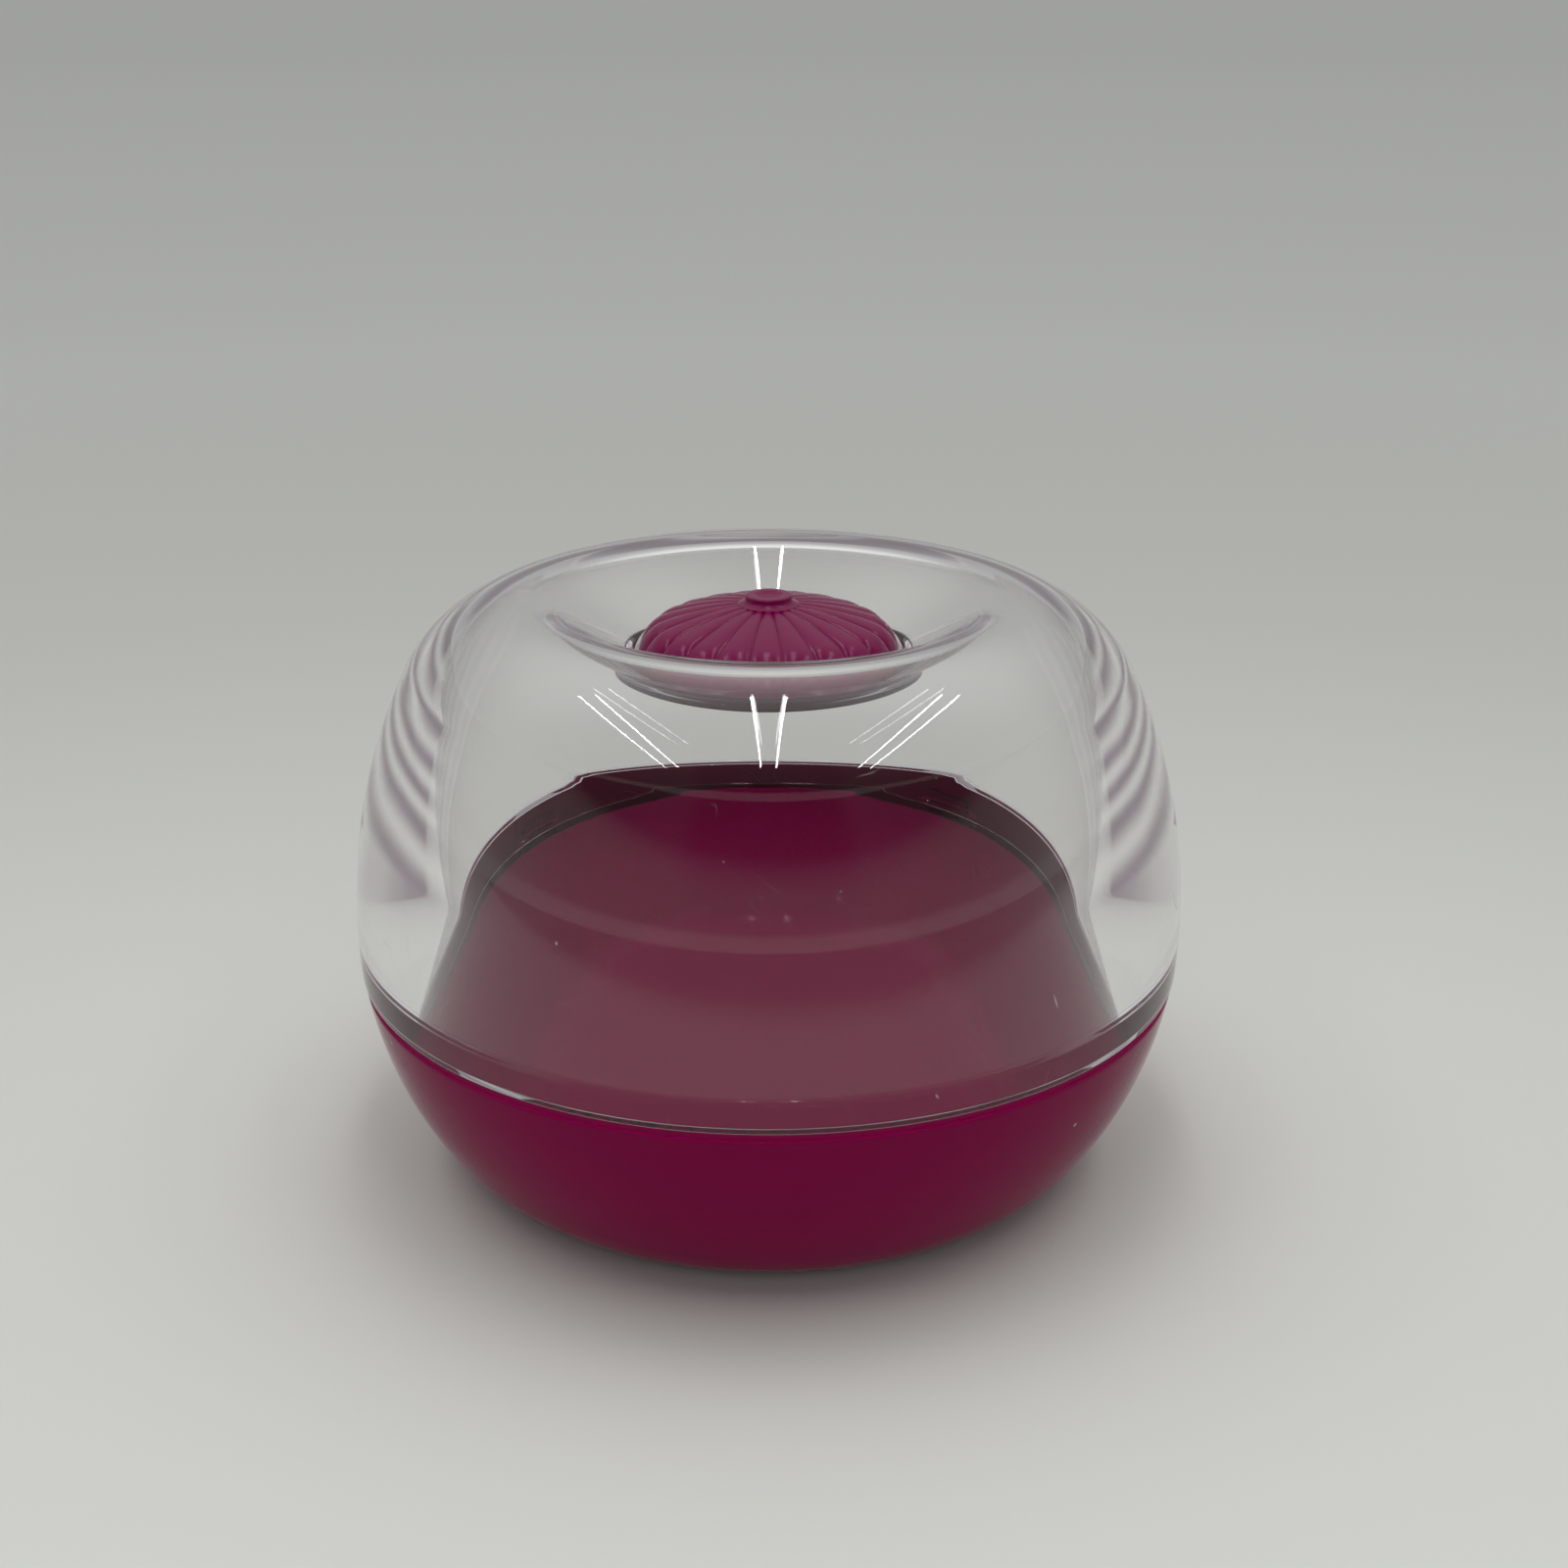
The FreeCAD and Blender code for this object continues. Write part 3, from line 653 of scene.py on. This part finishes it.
def clear_silicone():
    """Slightly cloudy clear rubber."""
    material, tree, shader = new_material("clear_silicone")
    mould = add_group(tree, MOULDING, Wave_Scale=200.0, Grain_Scale=4000.0, Grain_Share=0.2)
    shader.inputs["Base Color"].default_value = SILICONE_CLEAR
    shader.inputs["Transmission Weight"].default_value = 1.0
    shader.inputs["IOR"].default_value = SILICONE_IOR
    tree.links.new(blend_value(tree, mould.outputs["Cloud"], 0.12, 0.25), shader.inputs["Roughness"])
    add_bump(tree, mould.outputs["Height"], shader, strength=0.1, distance=0.0001)
    # painted reflection streaks and painted shade on rays caught in the wall, and tinted shadow rays
    let_light_through(tree, shader, SILICONE_SHADOW)
    return material


def let_light_through(tree, shader, shadow_colour):
    """Let shadow rays pass, tinted, and let out rays caught in the wall, tinted with painted reflection
    streaks and painted shade in rings round the axis.
    """
    nodes, links = tree.nodes, tree.links
    rays = nodes.new("ShaderNodeLightPath")
    place = nodes.new("ShaderNodeTexCoord")
    rings = nodes.new("ShaderNodeTexWave")
    rings.bands_direction = "Z"
    rings.inputs["Scale"].default_value = PAINTED_STREAK_RINGS
    rings.inputs["Distortion"].default_value = PAINTED_STREAK_WANDER
    links.new(place.outputs["Object"], rings.inputs["Vector"])
    # painted reflection: dark and pale rings of tint standing in for refracted surroundings and trapped light
    painted_reflection_streaks = blend_colour(tree, rings.outputs["Fac"], PAINTED_REFLECTION_DARK, PAINTED_REFLECTION_PALE)
    tint = blend_colour(tree, rays.outputs["Is Shadow Ray"], PAINTED_REFLECTION_PALE, shadow_colour)
    links.new(painted_reflection_streaks.outputs["Result"], tint.inputs["A"])
    pane = nodes.new("ShaderNodeBsdfTransparent")
    links.new(tint.outputs["Result"], pane.inputs["Color"])
    caught = math_node(tree, "GREATER_THAN", rays.outputs["Ray Depth"], MOST_BOUNCES)
    mix = nodes.new("ShaderNodeMixShader")
    links.new(math_node(tree, "MAXIMUM", caught, rays.outputs["Is Shadow Ray"]), mix.inputs["Fac"])
    links.new(shader.outputs["BSDF"], mix.inputs[1])
    links.new(pane.outputs["BSDF"], mix.inputs[2])
    links.new(mix.outputs["Shader"], nodes["Material Output"].inputs["Surface"])


def dress(piece, node, body, material):
    """Give a piece its finish and the body it rides on, and hide the CAD node it stands for."""
    piece.data.materials.append(material)
    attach(piece, body)
    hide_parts(node)


bowl_finish = magenta_plastic("magenta_plastic", BOWL_MAGENTA, gloss=0.04, shine=0.06, grain_share=0.01)
cap_finish = magenta_plastic("cap_plastic", CAP_MAGENTA, gloss=0.2, shine=0.2, grain_share=0.12)
clear_finish = clear_plastic()
seal_finish = clear_silicone()

dress(make_base_bowl(), "base_bowl", "base", bowl_finish)
dress(make_clear_dome(), "clear_dome", "dome", clear_finish)
dress(make_cap_seal(), "cap_seal", "cap_ring", seal_finish)
dress(make_fluted_cap(), "fluted_cap", "cap", cap_finish)
dress(make_cap_plug(), "cap_plug", "cap", cap_finish)
dress(make_centre_stud(), "centre_stud", "cap", cap_finish)


# Stage: pale floor, soft light and the camera, in metres
CAMERA_REACH = 0.3185
CAMERA_HEIGHT = 0.1747
CAMERA_PITCH = math.radians(20.4)
CAMERA_TURN = math.radians(-7.0)
CAMERA_LENS = 54.0
CAMERA_SHIFT = 0.0098
CAMERA_SENSOR = 36.0
CAMERA_NEAR = 0.01

FLOOR_REACH = 12.0
# Painted light falloff on the floor: darker within 0.3 m of the jar, lightest near 0.66 m, darker again
# towards 3 m
FLOOR_PAINTED_FALLOFF_REACH = 3.0
FLOOR_PAINTED_FALLOFF = (
    (0.1, (0.73, 0.74, 0.705, 1.0)),
    (0.22, (0.84, 0.855, 0.825, 1.0)),
    (1.0, (0.74, 0.755, 0.735, 1.0)),
)
FLOOR_ROUGHNESS = 0.7
FLOOR_FRONT_SHADE = (0.03, 0.03, 0.03, 1.0)
FLOOR_FRONT_FROM, FLOOR_FRONT_TO = -0.38, -0.18
FLOOR_FRONT_SHARE = 0.08

SKY_FROM, SKY_TO = 0.3, 0.85
SKY_LOW, SKY_HIGH = 0.38, 0.93
SKY_COLOUR = (1.0, 1.0, 0.985, 1.0)
FRONT_DIRECTION = Vector((-0.11, -0.94, 0.3)).normalized()
FRONT_DIMS = ((-0.15, 0.6, 0.24), (0.90, 0.94, 0.2))
HORIZON_FROM, HORIZON_TO = 0.04, 0.07
BACKGROUND_LEVEL = 0.5

STRIP_HEIGHT = 0.42
STRIP_LENGTH = 0.42
STRIP_BREADTH = 0.003
STRIP_SETBACK = -0.1
STRIP_PAIR_GAP = 0.03
STRIP_ROWS = (-0.2, 0.0, 0.2)
STRIP_POWER = 0.14

FILL_PLACE = (0.0, -0.5, 0.28)
FILL_BREADTH = 0.6
FILL_LENGTH = 0.25
FILL_POWER = 0.52


def make_floor():
    """Pale floor with painted light falloff, darker near the jar, lightest further off and darker again far
    away; its front is dim for all rays but the camera's own.
    """
    mesh = bpy.data.meshes.new("pale_floor")
    corners = [(-FLOOR_REACH, -FLOOR_REACH, 0), (FLOOR_REACH, -FLOOR_REACH, 0),
               (FLOOR_REACH, FLOOR_REACH, 0), (-FLOOR_REACH, FLOOR_REACH, 0)]
    mesh.from_pydata(corners, [], [(0, 1, 2, 3)])
    floor = bpy.data.objects.new("pale_floor", mesh)
    bpy.context.scene.collection.objects.link(floor)
    material, tree, shader = new_material("pale_floor")
    nodes, links = tree.nodes, tree.links
    place = nodes.new("ShaderNodeTexCoord")
    away = nodes.new("ShaderNodeVectorMath")
    away.operation = "LENGTH"
    painted_falloff = nodes.new("ShaderNodeValToRGB")
    near, middle, far = FLOOR_PAINTED_FALLOFF
    stops = painted_falloff.color_ramp.elements
    stops[0].position, stops[0].color = near
    stops[1].position, stops[1].color = far
    stops.new(middle[0]).color = middle[1]
    links.new(place.outputs["Object"], away.inputs[0])
    links.new(math_node(tree, "DIVIDE", away.outputs["Value"], FLOOR_PAINTED_FALLOFF_REACH), painted_falloff.inputs["Fac"])
    split = nodes.new("ShaderNodeSeparateXYZ")
    rays = nodes.new("ShaderNodeLightPath")
    links.new(place.outputs["Object"], split.inputs["Vector"])
    front = smooth_step(
        tree, split.outputs["Y"], FLOOR_FRONT_FROM, FLOOR_FRONT_TO, FLOOR_FRONT_SHARE, 1.0)
    shade = nodes.new("ShaderNodeMix")
    shade.data_type = "RGBA"
    shade.inputs["A"].default_value = FLOOR_FRONT_SHADE
    links.new(math_node(tree, "MAXIMUM", front, rays.outputs["Is Camera Ray"]), shade.inputs["Factor"])
    links.new(painted_falloff.outputs["Color"], shade.inputs["B"])
    links.new(shade.outputs["Result"], shader.inputs["Base Color"])
    shader.inputs["Roughness"].default_value = FLOOR_ROUGHNESS
    mesh.materials.append(material)


def make_world():
    """Soft box of light: bright overhead, dim where the camera stands, and plain along the horizon."""
    world = bpy.data.worlds.new("soft_box")
    bpy.context.scene.world = world
    world.use_nodes = True
    tree = world.node_tree
    nodes, links = tree.nodes, tree.links
    place = nodes.new("ShaderNodeTexCoord")
    split = nodes.new("ShaderNodeSeparateXYZ")
    towards = nodes.new("ShaderNodeVectorMath")
    towards.operation = "DOT_PRODUCT"
    towards.inputs[1].default_value = FRONT_DIRECTION
    links.new(place.outputs["Generated"], split.inputs["Vector"])
    links.new(place.outputs["Generated"], towards.inputs[0])
    total = smooth_step(tree, split.outputs["Z"], SKY_FROM, SKY_TO, SKY_LOW, SKY_HIGH)
    for low, high, share in FRONT_DIMS:
        dim = smooth_step(tree, towards.outputs["Value"], low, high, 1.0, share)
        total = math_node(tree, "MULTIPLY", total, dim)
    rays = nodes.new("ShaderNodeLightPath")
    horizon = smooth_step(tree, split.outputs["Z"], HORIZON_FROM, HORIZON_TO, 1.0, 0.0)
    level = nodes.new("ShaderNodeMix")
    level.inputs["B"].default_value = BACKGROUND_LEVEL
    links.new(math_node(tree, "MAXIMUM", horizon, rays.outputs["Is Camera Ray"]), level.inputs["Factor"])
    links.new(total, level.inputs["A"])
    links.new(level.outputs["Result"], nodes["Background"].inputs["Strength"])
    nodes["Background"].inputs["Color"].default_value = SKY_COLOUR


def add_lamp(name, breadth, length, power, place):
    """Rectangular lamp, placed as the camera sees left, front and up, and hidden from the camera."""
    lamp = bpy.data.lights.new(name, "AREA")
    lamp.shape = "RECTANGLE"
    lamp.size = breadth
    lamp.size_y = length
    lamp.energy = power
    holder = bpy.data.objects.new(name, lamp)
    holder.location = Matrix.Rotation(CAMERA_TURN, 4, "Z") @ Vector(place)
    holder.visible_camera = False
    bpy.context.scene.collection.objects.link(holder)
    return holder


def make_strips():
    """Three pairs of long thin lamps overhead, running from front to back."""
    for row in STRIP_ROWS:
        for side in (-0.5, 0.5):
            place = (row + side * STRIP_PAIR_GAP, STRIP_SETBACK, STRIP_HEIGHT)
            strip = add_lamp("strip", STRIP_BREADTH, STRIP_LENGTH, STRIP_POWER, place)
            strip.rotation_euler = (0.0, 0.0, CAMERA_TURN)


def make_front_fill():
    """Broad soft lamp above the camera that softens the shadow under the bowl; it has no mirror image."""
    fill = add_lamp("front_fill", FILL_BREADTH, FILL_LENGTH, FILL_POWER, FILL_PLACE)
    fill.rotation_euler = fill.location.to_track_quat("Z", "Y").to_euler()
    fill.visible_glossy = False
    fill.visible_transmission = False


def make_camera():
    lens = bpy.data.cameras.new("camera")
    lens.sensor_fit = "HORIZONTAL"
    lens.sensor_width = CAMERA_SENSOR
    lens.lens = CAMERA_LENS
    lens.shift_x = CAMERA_SHIFT
    lens.clip_start = CAMERA_NEAR
    camera = bpy.data.objects.new("camera", lens)
    across = CAMERA_REACH * math.sin(CAMERA_TURN)
    back = -CAMERA_REACH * math.cos(CAMERA_TURN)
    camera.location = (across, back, CAMERA_HEIGHT)
    camera.rotation_euler = (math.pi / 2 - CAMERA_PITCH, 0.0, CAMERA_TURN)
    bpy.context.scene.collection.objects.link(camera)
    bpy.context.scene.camera = camera


make_floor()
make_world()
make_strips()
make_front_fill()
make_camera()
bpy.context.scene.view_settings.view_transform = "Standard"
